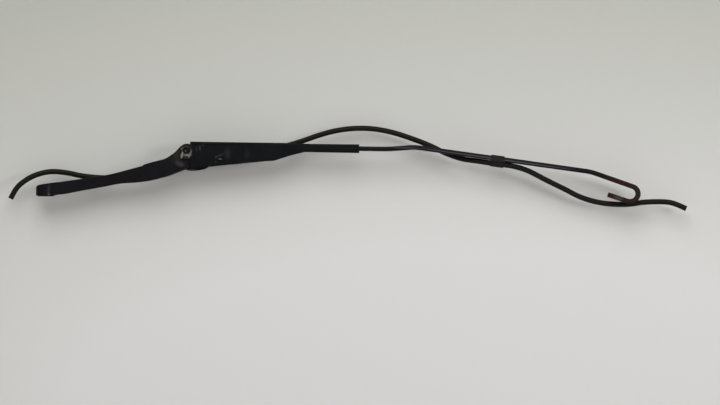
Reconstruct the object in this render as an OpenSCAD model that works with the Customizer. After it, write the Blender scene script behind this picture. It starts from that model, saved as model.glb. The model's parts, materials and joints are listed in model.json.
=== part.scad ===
// Windscreen wiper arm with its washer hose, in millimetres.
// The origin is on the spindle axis, at the underside of the boss. +Z runs along the spindle, away
// from the glass, +X runs along the arm to the blade hook, and -Y is the side with the open hook view.

/* [Head] */
// Distance from the spindle axis to the hinge pin, along the arm
hinge_x = 121.4; // [105:0.2:135]
// Height of the hinge pin above the underside of the boss
hinge_z = 39.6; // [34:0.2:45]
// Outer radius of the spindle boss
boss_r = 8.6; // [8.4:0.1:10]
// Radius of the seat ring under the boss
ring_r = 7; // [5.8:0.1:7.6]
// Height of the seat ring
ring_h = 0.6; // [0.4:0.1:1.2]
// Radius of the spindle bore
bore_r = 4.15; // [3:0.05:5]
// Radius of the pocket for the spindle nut
nut_pocket_r = 7.2; // [6:0.1:7.4]
// Height of the nut seat above the underside of the boss
nut_seat_h = 8.2; // [6:0.1:8.8]
// Half width of the neck at its slimmest
neck_half_w = 7.4; // [6.8:0.1:8]
// Half width of the shoulders beside the hinge
shoulder_half_w = 9.4; // [9:0.1:9.8]
// Half width of the tongue that the hinge pin crosses
tongue_half_w = 6.4; // [6:0.1:6.6]
// Radius of the tongue around the hinge pin
tongue_r = 5.7; // [5.2:0.1:5.7]
// Radius of the recess in the shoulders, around the hinge pin
recess_r = 12.5; // [11:0.1:13.5]
// Wall left above the groove under the neck
groove_roof = 3.6; // [2.6:0.1:5]
// Half width of the groove under the neck
groove_half_w = 4.6; // [3:0.1:5]

/* [Hinge] */
// Radius of the hinge pin
pin_r = 2.5; // [2:0.05:2.8]
// Radius of the rivet heads on the hinge pin
pin_head_r = 3; // [2.8:0.05:3.6]
// Thickness of the rivet heads
pin_head_t = 1; // [0.6:0.1:1.3]
// Wall of the plastic bushes in the ears
bush_wall = 0.8; // [0.5:0.05:1]
// Radius of the bushes' flanges
bush_flange_r = 4.6; // [4:0.1:5]
// Radial running gap in every pivot
running_gap = 0.04; // [0.02:0.01:0.08]
// Radius of the ears around the hinge pin
ear_r = 5.2; // [4.8:0.1:5.5]
// How far the ears reach below the hinge pin
ear_drop = 7.5; // [6.5:0.1:8.5]

/* [Channel] */
// Outer width of the channel at the hinge
channel_w = 20; // [19.8:0.1:22]
// Thickness of the channel's sheet steel
sheet = 1.4; // [1.2:0.1:1.6]
// Distance from the hinge pin to the end of the channel's roof
roof_gap = 3.3; // [3.2:0.1:4.2]
// Height of the channel's roof above the hinge pin
roof_rise = 7.3; // [7.2:0.1:8]
// Depth of the flanges below the hinge pin, at the hinge
flange_drop = 15.6; // [14.6:0.1:17]
// Length of the channel's tall part
tall_len = 71; // [64:0.5:78]
// Depth of the flanges below the hinge pin, at the end of the tall part
tall_drop = 9; // [8.5:0.1:10]
// Length over which the flanges rise to the neck
rise_len = 26.5; // [22:0.5:32]
// Length of the neck that is crimped round the bar
crimp_len = 47.2; // [38:0.2:56]
// Wall of the crimped neck
crimp_wall = 1.6; // [1.4:0.1:1.8]
// Gap of the seam under the crimped neck
seam_gap = 0.8; // [0.5:0.1:1.5]

/* [Bar] */
// Width of the flat bar
bar_w = 9; // [8:0.1:10]
// Thickness of the flat bar
bar_t = 4; // [3:0.1:4.4]
// Distance from the hinge pin to the bar's hidden end in the channel
bar_start_gap = 83.6; // [80:0.1:90]
// Height of the bar's hidden end above the hinge pin
bar_start_rise = 2.4; // [2:0.1:3]
// Length of the bar inside the channel, before its first bend
bar_root_len = 86.5; // [80:0.5:92]
// Length of the bar between the joggle's two bends
joggle_len = 16.9; // [12:0.1:24]
// Length of the straight run to the bend before the hook
bar_run_len = 144.5; // [130:0.1:165]
// Length of the straight run into the hook
hook_run_len = 34.2; // [26:0.1:42]
// Inner radius of the hook, which takes the blade's adapter
hook_r = 4.5; // [4:0.1:5]
// Length of the hook's straight tip
hook_tip_len = 16.5; // [12:0.1:20]

/* [Spring] */
// Diameter of the spring's wire
wire_d = 1.6; // [1.2:0.1:1.8]
// Mean radius of the coils
coil_r = 3.5; // [3.2:0.1:3.6]
// Number of coils
coils = 16; // [10:1:17]
// Distance from one coil to the next
coil_pitch = 2; // [1.9:0.02:2.05]
// Radius of the pin that anchors the spring in the channel
anchor_r = 1.8; // [1.4:0.1:2]
// Radius of the pin that carries the spring link in the head
link_pin_r = 2; // [1.6:0.1:2.4]
// Thickness of the spring link
link_t = 3.2; // [2.6:0.1:3.6]
// Side gap between the spring link and the slot in the head
link_gap = 0.4; // [0.3:0.05:0.6]

/* [Hose] */
// Outer diameter of the washer hose
hose_d = 4.65; // [4.2:0.05:4.7]
// Gap between the hose and the rings that hold it
hose_gap = 0.06; // [0.04:0.01:0.2]
// Wall of the hose clips
clip_wall = 0.75; // [0.6:0.05:1]
// Length of the clip on the bar
bar_clip_len = 11.2; // [8:0.1:14]
// Length of the two clips beside the head and the channel
side_clip_len = 8; // [6:0.1:10]

/* [Hidden] */
$fn = 64;
eps = 0.01;
far = 60;

cast_black = "#1d1d20";
paint_black = "#18191b";
bare_steel = "#8b8782";
spring_steel = "#5b5a58";
rust_brown = "#54382c";
nylon = "#c9c4b4";
hose_rubber = "#26261f";
clip_plastic = "#141414";

// Outlines of the neck, as shares of the way from the spindle to the hinge pin
neck_top = [
    [-0.018, 0.265], [0.046, 0.293], [0.109, 0.315], [0.236, 0.371], [0.406, 0.447], [0.491, 0.501],
    [0.575, 0.568], [0.66, 0.639], [0.685, 0.659], [0.706, 0.698], [0.787, 0.765], [0.852, 0.82],
    [0.894, 0.903], [0.914, 0.952], [0.935, 1.016], [0.956, 1.084]
];
neck_under = [
    [0.979, 0.576], [0.921, 0.508], [0.864, 0.441], [0.751, 0.349], [0.638, 0.3], [0.524, 0.276],
    [0.412, 0.211], [0.24, 0.117], [0.145, 0.058], [0.082, 0.034], [0.05, 0.015]
];
shoulder_angle = 125;
tongue_end_angle = -30;
stop_gap = 0.3;
stop_top = 11.5;
stop_foot = 14.2;
boss_edge = 3.2;
boss_foot_edge = 0.5;
boss_top = 0.246;
groove_start = 18;
groove_end = 24;

// The pins of the spring's linkage, from the hinge pin
link_at = [-9.2, -7.7];
anchor_at = [75.4, -3.6];
link_len = 35.2;
link_pin_end = -4.6;
eye_r = 4.2;
tip_r = 3.1;
slot_r = 6.2;
eye_slot_h = 2.2;
eye_slot_back = 1.1;
eye_slot_front = 4.3;
linkage_turn = atan2(anchor_at[1] - link_at[1], anchor_at[0] - link_at[0]);
linkage_reach = norm(anchor_at - link_at);
spring_reach = linkage_reach - link_len;
loop_r = anchor_r + wire_d / 2 + 0.3;
coil_start = 8;

ear_out = channel_w / 2 - sheet;
ear_in = ear_out - sheet;
bush_flange_t = ear_in - tongue_half_w - 0.1;
joggle_x = 1.5;
channel_x0 = hinge_x + roof_gap;
rise_x0 = hinge_x + roof_gap + tall_len;
crimp_x0 = rise_x0 + rise_len;
crimp_x1 = crimp_x0 + crimp_len;

// The bar's middle line starts inside the channel and follows straight runs and bends
bar_start = [hinge_x + bar_start_gap, hinge_z + bar_start_rise];
bar_heading = -0.88;
bend_up = 4.84;
bend_up_r = 60;
bend_down = -11.95;
bend_down_r = 40;
bend_hook = -11.41;
bend_hook_r = 40;
hook_turn = -160.6;
hook_tip_turn = -18.5;
hook_tip_r = 10;
hook_mid_r = hook_r + bar_t / 2;

// The hose's middle line, from the feed end to the jet end
hose_route = [
    [-30.8, 3, -2], [-24.2, 3.4, 8.8], [-12, 4.2, 17.2], [2, 5.8, 21.2], [16, 8, 20.5], [30, 10.4, 17.7],
    [46, 10.4, 16.1], [62, 10.4, 16.1], [78, 10.4, 18.2], [92, 11.8, 22.4], [106, 12.6, 28.4], [120.6, 12.8, 34],
    [135, 12.7, 37.8], [150, 12, 39.4], [165, 11.1, 39.8], [181, 10.6, 39.8], [195, 10, 41], [208, 9.5, 44],
    [222, 9.5, 48.4], [236, 9.5, 53.2], [250, 9.5, 56.8], [266, 9.4, 58.7], [282, 9.2, 58.2], [298, 8.8, 55.2],
    [314, 8.3, 50.1], [330, 8, 43.9], [345, 8, 36.8], [358, 6, 32.4], [372, 2.2, 30.2], [387.7, 0, 27.9],
    [401, 0, 26.05], [414, 0.5, 22.2], [430, 2.6, 14.2], [446, 4.8, 6.4], [462, 7, -1.3], [480, 8, -5.9],
    [500, 8, -6.9], [517, 7.8, -4.9], [537, 6.8, -5.2], [551.3, 5.9, -10.6]
];
hose_split = 11;
hose_steps = 2;
hose_sides = 10;
bar_clip_run = 67.3;
head_clip_x = 78;
channel_clip_x = 165;
clip_mouth = 2.4;
clip_foot = 1.2;

// One point a step of the way along a smooth curve from b to c
function curve_point(a, b, c, d, t) =
    0.5 * (2 * b + (c - a) * t + (2 * a - 5 * b + 4 * c - d) * t * t + (3 * b - a - 3 * c + d) * t * t * t);

// A smooth curve through points, with steps points on each stretch
function smooth(points, steps) = [
    for (i = [0 : len(points) - 2])
        for (k = [0 : steps - 1])
            curve_point(
                points[max(i - 1, 0)], points[i], points[i + 1], points[min(i + 2, len(points) - 1)], k / steps
            ),
    points[len(points) - 1]
];

// Points on an arc about centre, from angle a0 to a1
function arc(centre, r, a0, a1, steps) =
    [for (k = [0 : steps]) centre + r * [cos(a0 + (a1 - a0) * k / steps), sin(a0 + (a1 - a0) * k / steps)]];

function neck_point(share) = [share[0] * hinge_x, share[1] * hinge_z];

// The point where a straight run of length d ends
function ahead(p, heading, d) = p + d * [cos(heading), sin(heading)];

// The centre of a bend that turns by the angle turn
function bend_centre(p, heading, turn, r) =
    p + (turn > 0 ? r : -r) * [cos(heading + 90), sin(heading + 90)];

// The end of a bend
function bend_end(p, heading, turn, r) =
    bend_centre(p, heading, turn, r)
    - (turn > 0 ? r : -r) * [cos(heading + turn + 90), sin(heading + turn + 90)];

// Every move along the bar is [straight length, turn, bend radius, spare metal inside the bend]
bar_moves = [
    [bar_root_len, bend_up, bend_up_r, 0],
    [joggle_len, bend_down, bend_down_r, 0],
    [bar_run_len, bend_hook, bend_hook_r, 0],
    [hook_run_len, hook_turn, hook_mid_r, 0.05],
    [0.5, hook_tip_turn, hook_tip_r, 0],
    [hook_tip_len, 0, 1, 0]
];

// The bar's middle line offset to one side by the distance side
function bar_edge(p, heading, moves, side, i = 0) =
    i >= len(moves) ? [] :
    let (
        run = moves[i][0],
        turn = moves[i][1],
        r = moves[i][2],
        q = ahead(p, heading, run),
        across = side * [cos(heading + 90), sin(heading + 90)],
        centre = bend_centre(q, heading, turn, r),
        spare = side * turn > 0 ? moves[i][3] : 0,
        spoke = turn > 0 ? r - side - spare : -(r + side - spare),
        steps = max(1, ceil(abs(turn) / 6))
    )
    concat(
        i == 0 ? [p + across] : [],
        [q + across],
        turn == 0 ? [] : [
            for (k = [1 : steps])
                let (h = heading + turn * k / steps + 90)
                centre - spoke * [cos(h), sin(h)]
        ],
        bar_edge(bend_end(q, heading, turn, r), heading + turn, moves, side, i + 1)
    );

function reversed(list) = [for (i = [len(list) - 1 : -1 : 0]) list[i]];

// Points and headings where the bar's straight runs start
joggle_at = bend_end(ahead(bar_start, bar_heading, bar_root_len), bar_heading, bend_up, bend_up_r);
run_heading = bar_heading + bend_up + bend_down;
run_at = bend_end(ahead(joggle_at, bar_heading + bend_up, joggle_len), bar_heading + bend_up, bend_down, bend_down_r);
hook_heading = run_heading + bend_hook;
hook_run_at = bend_end(ahead(run_at, run_heading, bar_run_len), run_heading, bend_hook, bend_hook_r);
hook_at = bend_centre(ahead(hook_run_at, hook_heading, hook_run_len), hook_heading, hook_turn, hook_mid_r);

// Height of the bar's middle line in the crimped neck
function bar_root_z(x) = bar_start[1] + (x - bar_start[0]) * tan(bar_heading);

// Outer half width of the channel
function channel_half_w(x) =
    let (crimp_half_w = bar_w / 2 + crimp_wall)
    x >= crimp_x0 ? crimp_half_w
    : channel_w / 2 + (crimp_half_w - channel_w / 2) * (x - channel_x0) / (crimp_x0 - channel_x0);

roof_line = [
    [channel_x0, hinge_z + roof_rise - 0.8],
    [channel_x0 + 0.8, hinge_z + roof_rise],
    [rise_x0 + 12, hinge_z + roof_rise - 1.1],
    [crimp_x0 + 7, bar_root_z(crimp_x0 + 7) + bar_t / 2 + crimp_wall - 0.2],
    [crimp_x1, bar_root_z(crimp_x1) + bar_t / 2 + crimp_wall]
];
flange_line = concat(
    [[crimp_x1, bar_root_z(crimp_x1) - bar_t / 2 - crimp_wall - 0.2]],
    smooth([
        [crimp_x0, bar_root_z(crimp_x0) - bar_t / 2 - crimp_wall],
        [crimp_x0 - rise_len * 0.26, hinge_z - tall_drop + (tall_drop - 1.5) * 0.79],
        [crimp_x0 - rise_len * 0.53, hinge_z - tall_drop + (tall_drop - 1.5) * 0.53],
        [crimp_x0 - rise_len * 0.79, hinge_z - tall_drop + (tall_drop - 1.5) * 0.24],
        [rise_x0, hinge_z - tall_drop]
    ], 3),
    [
        [rise_x0 - 8, hinge_z - tall_drop - 0.4],
        [channel_x0 + 14.6, hinge_z - flange_drop + 1.5],
        [channel_x0, hinge_z - flange_drop]
    ]
);

// A solid whose side view is the points [x, z] and whose width is w, centred on the arm's plane
module side_slab(points, w) {
    rotate([90, 0, 0]) linear_extrude(height = w, center = true) polygon(points);
}

// A round bar across the arm, centred on its plane
module cross_bar(p, r, w) {
    translate([p[0], 0, p[1]]) rotate([90, 0, 0]) cylinder(r = r, h = w, center = true);
}

// A disc across the arm between two distances on one side of its plane
module cross_disc(p, r, y0, y1) {
    translate([p[0], y1, p[1]]) rotate([90, 0, 0]) cylinder(r = r, h = y1 - y0);
}

// Children on both sides of the arm's plane
module both_sides() {
    children();
    mirror([0, 1, 0]) children();
}

hinge_at = [hinge_x, hinge_z];

module head_side_view() {
    tongue_top = arc(hinge_at, tongue_r, shoulder_angle, tongue_end_angle, 20);
    side_slab(concat(
        [[-boss_r, ring_h + boss_foot_edge]],
        arc([-boss_r + boss_edge, boss_top * hinge_z - boss_edge], boss_edge, 180, 100, 5),
        smooth([for (s = neck_top) neck_point(s)], 3),
        tongue_top,
        [
            hinge_at + [roof_gap - stop_gap, -stop_top],
            hinge_at + [roof_gap - stop_gap, -stop_foot]
        ],
        smooth([for (s = neck_under) neck_point(s)], 3),
        [[-boss_r + boss_foot_edge, ring_h]]
    ), far);
}

module head_plan_view() {
    cylinder(r = boss_r, h = far * 2, center = true);
    plan = smooth([
        [0, boss_r], [20, neck_half_w + 0.4], [50, neck_half_w], [80, neck_half_w + 0.5],
        [hinge_x - recess_r - 10, shoulder_half_w], [hinge_x + 6, shoulder_half_w]
    ], 4);
    linear_extrude(height = far * 2, center = true)
        polygon(concat(plan, reversed([for (p = plan) [p[0], -p[1]]])));
}

module arm_head() {
    color(cast_black) difference() {
        union() {
            intersection() {
                head_side_view();
                head_plan_view();
            }
            cylinder(r = ring_r, h = ring_h + 1);
        }
        translate([0, 0, -eps]) cylinder(r = bore_r, h = far);
        translate([0, 0, nut_seat_h]) cylinder(r = nut_pocket_r, h = far);
        head_groove();
        both_sides() cross_disc(hinge_at, recess_r, tongue_half_w, far);
        link_slot();
        cross_bar(hinge_at, pin_r, far);
        cross_disc(hinge_at + link_at, link_pin_r, link_pin_end, far);
    }
}

module head_groove() {
    roof = [
        for (p = smooth([for (s = neck_top) neck_point(s)], 3))
            if (p[0] > groove_start && p[0] < hinge_x - groove_end) p - [0, groove_roof]
    ];
    side_slab(concat(roof, [[roof[len(roof) - 1][0], -far], [roof[0][0], -far]]), groove_half_w * 2);
}

module link_slot() {
    slot_w = link_t + 2 * link_gap;
    at = hinge_at + link_at;
    cross_bar(at, slot_r, slot_w);
    translate([at[0], -slot_w / 2, at[1] - far]) cube([far, slot_w, far * 2]);
    translate([at[0] - slot_r, -slot_w / 2, at[1]]) cube([slot_r + eps, slot_w, far]);
    translate([at[0] - slot_r, -slot_w / 2, at[1] - far]) cube([slot_r + eps, slot_w, far]);
}

module hinge_pin() {
    color(paint_black) {
        cross_bar(hinge_at, pin_r, 2 * ear_out + 0.2);
        both_sides() cross_disc(hinge_at, pin_head_r, ear_out + 0.1, ear_out + 0.1 + pin_head_t);
    }
}

module link_pin() {
    color(bare_steel) cross_disc(hinge_at + link_at, link_pin_r, link_pin_end, tongue_half_w);
}

// The bush on the side where y is positive
module hinge_bush() {
    color(nylon) difference() {
        union() {
            cross_disc(hinge_at, pin_r + bush_wall, ear_in - eps, ear_out);
            cross_disc(hinge_at, bush_flange_r, ear_in - bush_flange_t, ear_in);
        }
        cross_bar(hinge_at, pin_r + running_gap, far);
    }
}

module hinge_bush_left() {
    hinge_bush();
}

module hinge_bush_right() {
    mirror([0, 1, 0]) hinge_bush();
}

// The ear on the side where y is positive, set in by the sheet's thickness
module ear() {
    translate([hinge_x, ear_out, hinge_z]) rotate([90, 0, 0]) linear_extrude(height = sheet) union() {
        circle(r = ear_r);
        translate([-ear_r, -ear_drop + 1.5]) square([ear_r + roof_gap + joggle_x, ear_drop - 1.5]);
        translate([-ear_r + 1.5, -ear_drop]) square([ear_r + roof_gap + joggle_x - 1.5, ear_drop]);
        translate([-ear_r + 1.5, -ear_drop + 1.5]) circle(r = 1.5);
        square([roof_gap + joggle_x, ear_r]);
    }
    translate([channel_x0, ear_in, hinge_z - ear_drop]) cube([joggle_x, 2 * sheet, ear_drop + ear_r]);
}

module channel_plan(inset, x0, x1) {
    half = [for (x = [x0, min(x1, crimp_x0), x1]) [x, channel_half_w(x) - inset]];
    translate([0, 0, -far]) linear_extrude(height = far * 3)
        polygon(concat(half, reversed([for (p = half) [p[0], -p[1]]])));
}

module channel_cavity() {
    intersection() {
        side_slab([
            [channel_x0 - 1, roof_line[1][1] - sheet + 0.015],
            [roof_line[2][0], roof_line[2][1] - sheet],
            [crimp_x0 - 2, bar_root_z(crimp_x0 - 2) + bar_t / 2],
            [crimp_x0 - 2, -far], [channel_x0 - 1, -far]
        ], far);
        channel_plan(sheet, channel_x0 - 1, crimp_x0);
    }
}

module bar_cavity() {
    side_slab([
        [crimp_x0 - 4, bar_root_z(crimp_x0 - 4) + bar_t / 2],
        [crimp_x1 + 1, bar_root_z(crimp_x1 + 1) + bar_t / 2],
        [crimp_x1 + 1, bar_root_z(crimp_x1 + 1) - bar_t / 2],
        [crimp_x0 - 4, bar_root_z(crimp_x0 - 4) - bar_t / 2]
    ], bar_w);
    translate([crimp_x0 - 4, -seam_gap / 2, 0]) cube([crimp_len + 8, seam_gap, bar_root_z(crimp_x0)]);
}

module channel() {
    color(paint_black) difference() {
        union() {
            difference() {
                intersection() {
                    side_slab(concat(roof_line, flange_line), far);
                    channel_plan(0, channel_x0, crimp_x1);
                }
                channel_cavity();
                bar_cavity();
            }
            both_sides() ear();
        }
        cross_bar(hinge_at, pin_r + bush_wall, far);
    }
}

// The inside of the hook, cut as a true round
module hook_round() {
    spread = 3 * hook_r;
    first = hook_heading + 90 - 3;
    last = hook_heading + 90 + hook_turn + 3;
    rotate([90, 0, 0]) intersection() {
        translate([hook_at[0], hook_at[1], 0]) cylinder(r = hook_r, h = far, center = true);
        linear_extrude(height = far, center = true)
            polygon(concat([hook_at], arc(hook_at, spread, first, last, 6)));
    }
}

module hook_bar() {
    color(rust_brown) difference() {
        side_slab(concat(
            bar_edge(bar_start, bar_heading, bar_moves, bar_t / 2),
            reversed(bar_edge(bar_start, bar_heading, bar_moves, -bar_t / 2))
        ), bar_w);
        hook_round();
    }
}

// The pin is welded between the channel's flanges
module spring_anchor_pin() {
    at = hinge_at + anchor_at;
    color(paint_black) intersection() {
        cross_bar(at, anchor_r, far);
        channel_plan(sheet, at[0] - 4, at[0] + 4);
    }
}

// The stamped link hooks under the hinge pin, from its pin in the head to the spring. Its outlines
// are shares of the link's length, from the hinge pin.
link_outer = link_len * smooth([
    [-0.352, -0.29], [-0.31, -0.37], [-0.208, -0.437], [-0.06, -0.473], [0.113, -0.501], [0.289, -0.488],
    [0.417, -0.463], [0.51, -0.42], [0.6, -0.35], [0.71, -0.253]
], 3);
link_inner = link_len * smooth([
    [0.71, -0.091], [0.54, -0.159], [0.4, -0.265], [0.289, -0.35], [0.147, -0.39], [0.005, -0.387],
    [-0.09, -0.353], [-0.155, -0.27]
], 3);

module spring_link() {
    at = hinge_at + link_at;
    dir = [cos(linkage_turn), sin(linkage_turn)];
    tip = at + link_len * dir;
    color(bare_steel) difference() {
        union() {
            cross_bar(at, eye_r, link_t);
            side_slab([for (p = concat(link_outer, link_inner)) hinge_at + p], link_t);
            translate([tip[0], 0, tip[1]]) rotate([0, -linkage_turn, 0])
                translate([-1.5, -link_t / 2, -tip_r]) cube([eye_slot_front + 3, link_t, 2 * tip_r]);
        }
        cross_bar(at, link_pin_r + running_gap, far);
        translate([tip[0], 0, tip[1]]) rotate([0, -linkage_turn, 0])
            translate([-eye_slot_back, -far / 2, -eye_slot_h / 2])
            cube([eye_slot_back + eye_slot_front, far, eye_slot_h]);
    }
}

// The spring's wire, from the loop on its anchor to the hook in the link: along, up, across
spring_wire = concat(
    [for (a = [-110 : 20 : 130]) [loop_r * cos(a), loop_r * sin(a), 0]],
    [for (k = [0 : coils * 12])
        [-coil_start - k * coil_pitch / 12, coil_r * cos(k * 30), coil_r * sin(k * 30)]],
    [[-coil_start - coils * coil_pitch - 1.2, coil_r * 0.5, coil_r * 0.8]],
    [for (a = [90 : 20 : 270])
        [-spring_reach + coil_r + coil_r * cos(a), 0, coil_r * sin(a)]],
    [[-spring_reach + coil_r + 2.5, 0, -coil_r]]
);

// Directions across a path at one of its points
function path_dir(path, i) =
    let (d = path[min(i + 1, len(path) - 1)] - path[max(i - 1, 0)]) d / norm(d);

// Frames carried along the path without twisting
function carried(path, i, last) =
    let (t = path_dir(path, i), u = last - (last * t) * t) u / norm(u);

function side_vectors(path, i = 0, last = [0, 0.3, 1]) =
    i >= len(path) ? [] :
    let (u = carried(path, i, last)) concat([u], side_vectors(path, i + 1, u));

// A closed tube of diameter d swept along the path, from its point number first to number last
module swept_tube(path, d, sides, first, last) {
    side = side_vectors(path);
    rings = [
        for (i = [first : last])
            let (u = side[i], v = cross(path_dir(path, i), u))
            for (k = [0 : sides - 1])
                path[i] + d / 2 * (cos(360 * k / sides) * u + sin(360 * k / sides) * v)
    ];
    end = (last - first) * sides;
    polyhedron(rings, concat(
        [[for (k = [0 : sides - 1]) k]],
        [
            for (i = [0 : last - first - 1])
                for (k = [0 : sides - 1])
                    [i * sides + k, (i + 1) * sides + k,
                     (i + 1) * sides + (k + 1) % sides, i * sides + (k + 1) % sides]
        ],
        [[for (k = [sides - 1 : -1 : 0]) end + k]]
    ));
}

module tension_spring() {
    at = hinge_at + anchor_at;
    color(spring_steel) translate([at[0], 0, at[1]]) rotate([0, -linkage_turn, 0])
        swept_tube([for (p = spring_wire) [p[0], p[2], p[1]]], wire_d, 8, 0, len(spring_wire) - 1);
}

hose_path = smooth(hose_route, hose_steps);

module washer_hose_feed() {
    color(hose_rubber) swept_tube(hose_path, hose_d, hose_sides, 0, hose_split * hose_steps);
}

module washer_hose_run() {
    color(hose_rubber) swept_tube(hose_path, hose_d, hose_sides, hose_split * hose_steps, len(hose_path) - 1);
}

hose_hole_r = hose_d / 2 + hose_gap;

// A ring open towards +Y that holds the hose against a wall at y = 0
module side_clip(stand_off) {
    rotate([0, 90, 0]) linear_extrude(height = side_clip_len, center = true) difference() {
        union() {
            translate([0, stand_off]) circle(r = hose_hole_r + clip_wall);
            translate([-hose_hole_r - clip_wall, 0]) square([2 * (hose_hole_r + clip_wall), clip_foot]);
            translate([-clip_foot, 0]) square([2 * clip_foot, stand_off - hose_hole_r]);
        }
        translate([0, stand_off]) circle(r = hose_hole_r);
        translate([-clip_mouth / 2, stand_off]) square([clip_mouth, far]);
    }
}

module head_hose_clip() {
    color(clip_plastic) translate([head_clip_x, neck_half_w + 0.5, 18.2]) rotate([0, -14, 0])
        side_clip(10.4 - neck_half_w - 0.5);
}

module channel_hose_clip() {
    half = channel_half_w(channel_clip_x);
    color(clip_plastic) translate([channel_clip_x, half, 39.8]) side_clip(11.1 - half);
}

module bar_hose_clip() {
    at = ahead(run_at, run_heading, bar_clip_run);
    drop = bar_t / 2 + 0.1 + hose_hole_r;
    color(clip_plastic) translate([at[0], 0, at[1]]) rotate([0, -run_heading, 0])
        rotate([90, 0, 90]) linear_extrude(height = bar_clip_len, center = true) difference() {
            union() {
                square([bar_w + 2 * clip_wall, bar_t + 2 * clip_wall], center = true);
                translate([0, -drop]) circle(r = hose_hole_r + clip_wall);
                translate([-hose_hole_r - clip_wall, -drop]) square([2 * (hose_hole_r + clip_wall), drop]);
            }
            square([bar_w, bar_t], center = true);
            translate([0, -drop]) circle(r = hose_hole_r);
            translate([-clip_mouth / 2, -drop - far]) square([clip_mouth, far]);
        }
}

arm_head();
hinge_pin();
link_pin();
hinge_bush_left();
hinge_bush_right();
channel();
hook_bar();
spring_anchor_pin();
tension_spring();
spring_link();
bar_hose_clip();
head_hose_clip();
channel_hose_clip();
washer_hose_feed();
washer_hose_run();
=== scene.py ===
"""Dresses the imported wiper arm: cast, pressed, rolled and moulded pieces with their real edges and wear."""

import json
import logging
import math
from dataclasses import dataclass
from enum import Enum
from typing import Any, Callable, Optional, Sequence

import bmesh
import bpy
from bmesh.types import BMEdge, BMesh, BMVert
from bpy.types import ID, Material, Node, NodeSocket, NodeTree, Object
from mathutils import Matrix, Vector


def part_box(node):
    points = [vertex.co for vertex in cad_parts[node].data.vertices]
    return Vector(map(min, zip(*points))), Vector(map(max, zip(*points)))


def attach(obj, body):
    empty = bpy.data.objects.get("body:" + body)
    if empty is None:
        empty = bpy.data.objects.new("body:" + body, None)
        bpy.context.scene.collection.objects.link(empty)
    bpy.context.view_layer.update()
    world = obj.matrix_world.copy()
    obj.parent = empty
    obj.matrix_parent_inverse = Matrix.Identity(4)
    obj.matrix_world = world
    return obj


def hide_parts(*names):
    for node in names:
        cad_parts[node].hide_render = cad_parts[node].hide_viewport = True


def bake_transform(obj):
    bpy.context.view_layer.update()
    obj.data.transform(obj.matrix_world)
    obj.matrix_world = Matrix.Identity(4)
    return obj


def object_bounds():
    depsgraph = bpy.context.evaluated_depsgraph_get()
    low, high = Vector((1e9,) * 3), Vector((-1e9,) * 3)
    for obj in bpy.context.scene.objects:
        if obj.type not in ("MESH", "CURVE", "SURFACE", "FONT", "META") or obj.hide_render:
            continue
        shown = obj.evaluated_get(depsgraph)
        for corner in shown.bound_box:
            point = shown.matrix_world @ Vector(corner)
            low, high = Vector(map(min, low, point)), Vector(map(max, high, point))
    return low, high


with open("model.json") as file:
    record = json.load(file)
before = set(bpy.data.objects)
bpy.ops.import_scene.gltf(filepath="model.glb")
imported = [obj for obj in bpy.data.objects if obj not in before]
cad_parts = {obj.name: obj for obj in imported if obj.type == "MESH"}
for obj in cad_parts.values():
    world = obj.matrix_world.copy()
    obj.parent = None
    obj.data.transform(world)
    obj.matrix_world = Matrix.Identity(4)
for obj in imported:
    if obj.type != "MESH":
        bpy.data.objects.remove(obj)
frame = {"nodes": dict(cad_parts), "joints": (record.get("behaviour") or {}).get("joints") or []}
CAD_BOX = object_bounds()

LOG = logging.getLogger("wiper_arm")
MM = 0.001
ALONG_HOSE = "along_hose"
COLOUR_SPAN = (0.35, 0.65)
ROUGHNESS_SPAN = (0.3, 0.7)
WEIGHT_OF_LARGE_FACES = 90
FINE_ROUNDING_FACES = 2


class Body(Enum):
    """The rigid bodies that pieces ride on."""

    HEAD = "head"
    ARM = "arm"
    LINK = "link"
    SPRING = "spring"


class Slot(Enum):
    """The record's material slots."""

    HEAD_PAINT = "head_paint"
    CHANNEL_PAINT = "channel_paint"
    BAR_PAINT = "bar_paint"
    PIN_STEEL = "pin_steel"
    BUSH_PLASTIC = "bush_plastic"
    SPRING_WIRE = "spring_wire"
    LINK_STEEL = "link_steel"
    CLIP_PLASTIC = "clip_plastic"
    HOSE_RUBBER = "hose_rubber"


class Mix(Enum):
    """A mix node's data type, with its sockets: the first value, the second value and the result."""

    COLOURS = ("RGBA", 6, 7, 2)
    NUMBERS = ("FLOAT", 2, 3, 0)


def place(x: float, y: float, z: float) -> Vector:
    """Turns a place in millimetres to a vector in metres.

    Args:
        x: How far it is along the arm.
        y: How far it is across the arm.
        z: How high it is.

    Returns:
        The place in metres.
    """
    return Vector((x, y, z)) * MM


def joint_place(name: str) -> Vector:
    """Finds a joint's axis in the frame.

    Args:
        name: The joint's name.

    Returns:
        A point on the axis, in metres.
    """
    return next(Vector(joint["pos_m"]) for joint in frame["joints"] if joint["name"] == name)


HINGE = joint_place("arm_lift")
LINK_PIVOT = joint_place("link_swing")
SPRING_ANCHOR = joint_place("spring_swing")


def from_hinge(along: float, up: float) -> tuple[float, float]:
    """Finds a place near the hinge pin.

    Args:
        along: How far it is from the pin along the arm, in millimetres.
        up: How far it is above the pin, in millimetres.

    Returns:
        Its X and Z in the row frame, in millimetres.
    """
    return (HINGE.x / MM + along, HINGE.z / MM + up)


def linear(hex_colour: str) -> tuple[float, float, float, float]:
    """Turns an sRGB hex colour to linear light.

    Args:
        hex_colour: The colour, such as "#1d1d20".

    Returns:
        Red, green, blue and an alpha of 1.
    """
    shares = [int(hex_colour[i : i + 2], 16) / 255 for i in (1, 3, 5)]
    red, green, blue = (s / 12.92 if s <= 0.04045 else ((s + 0.055) / 1.055) ** 2.4 for s in shares)
    return (red, green, blue, 1.0)


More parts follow.
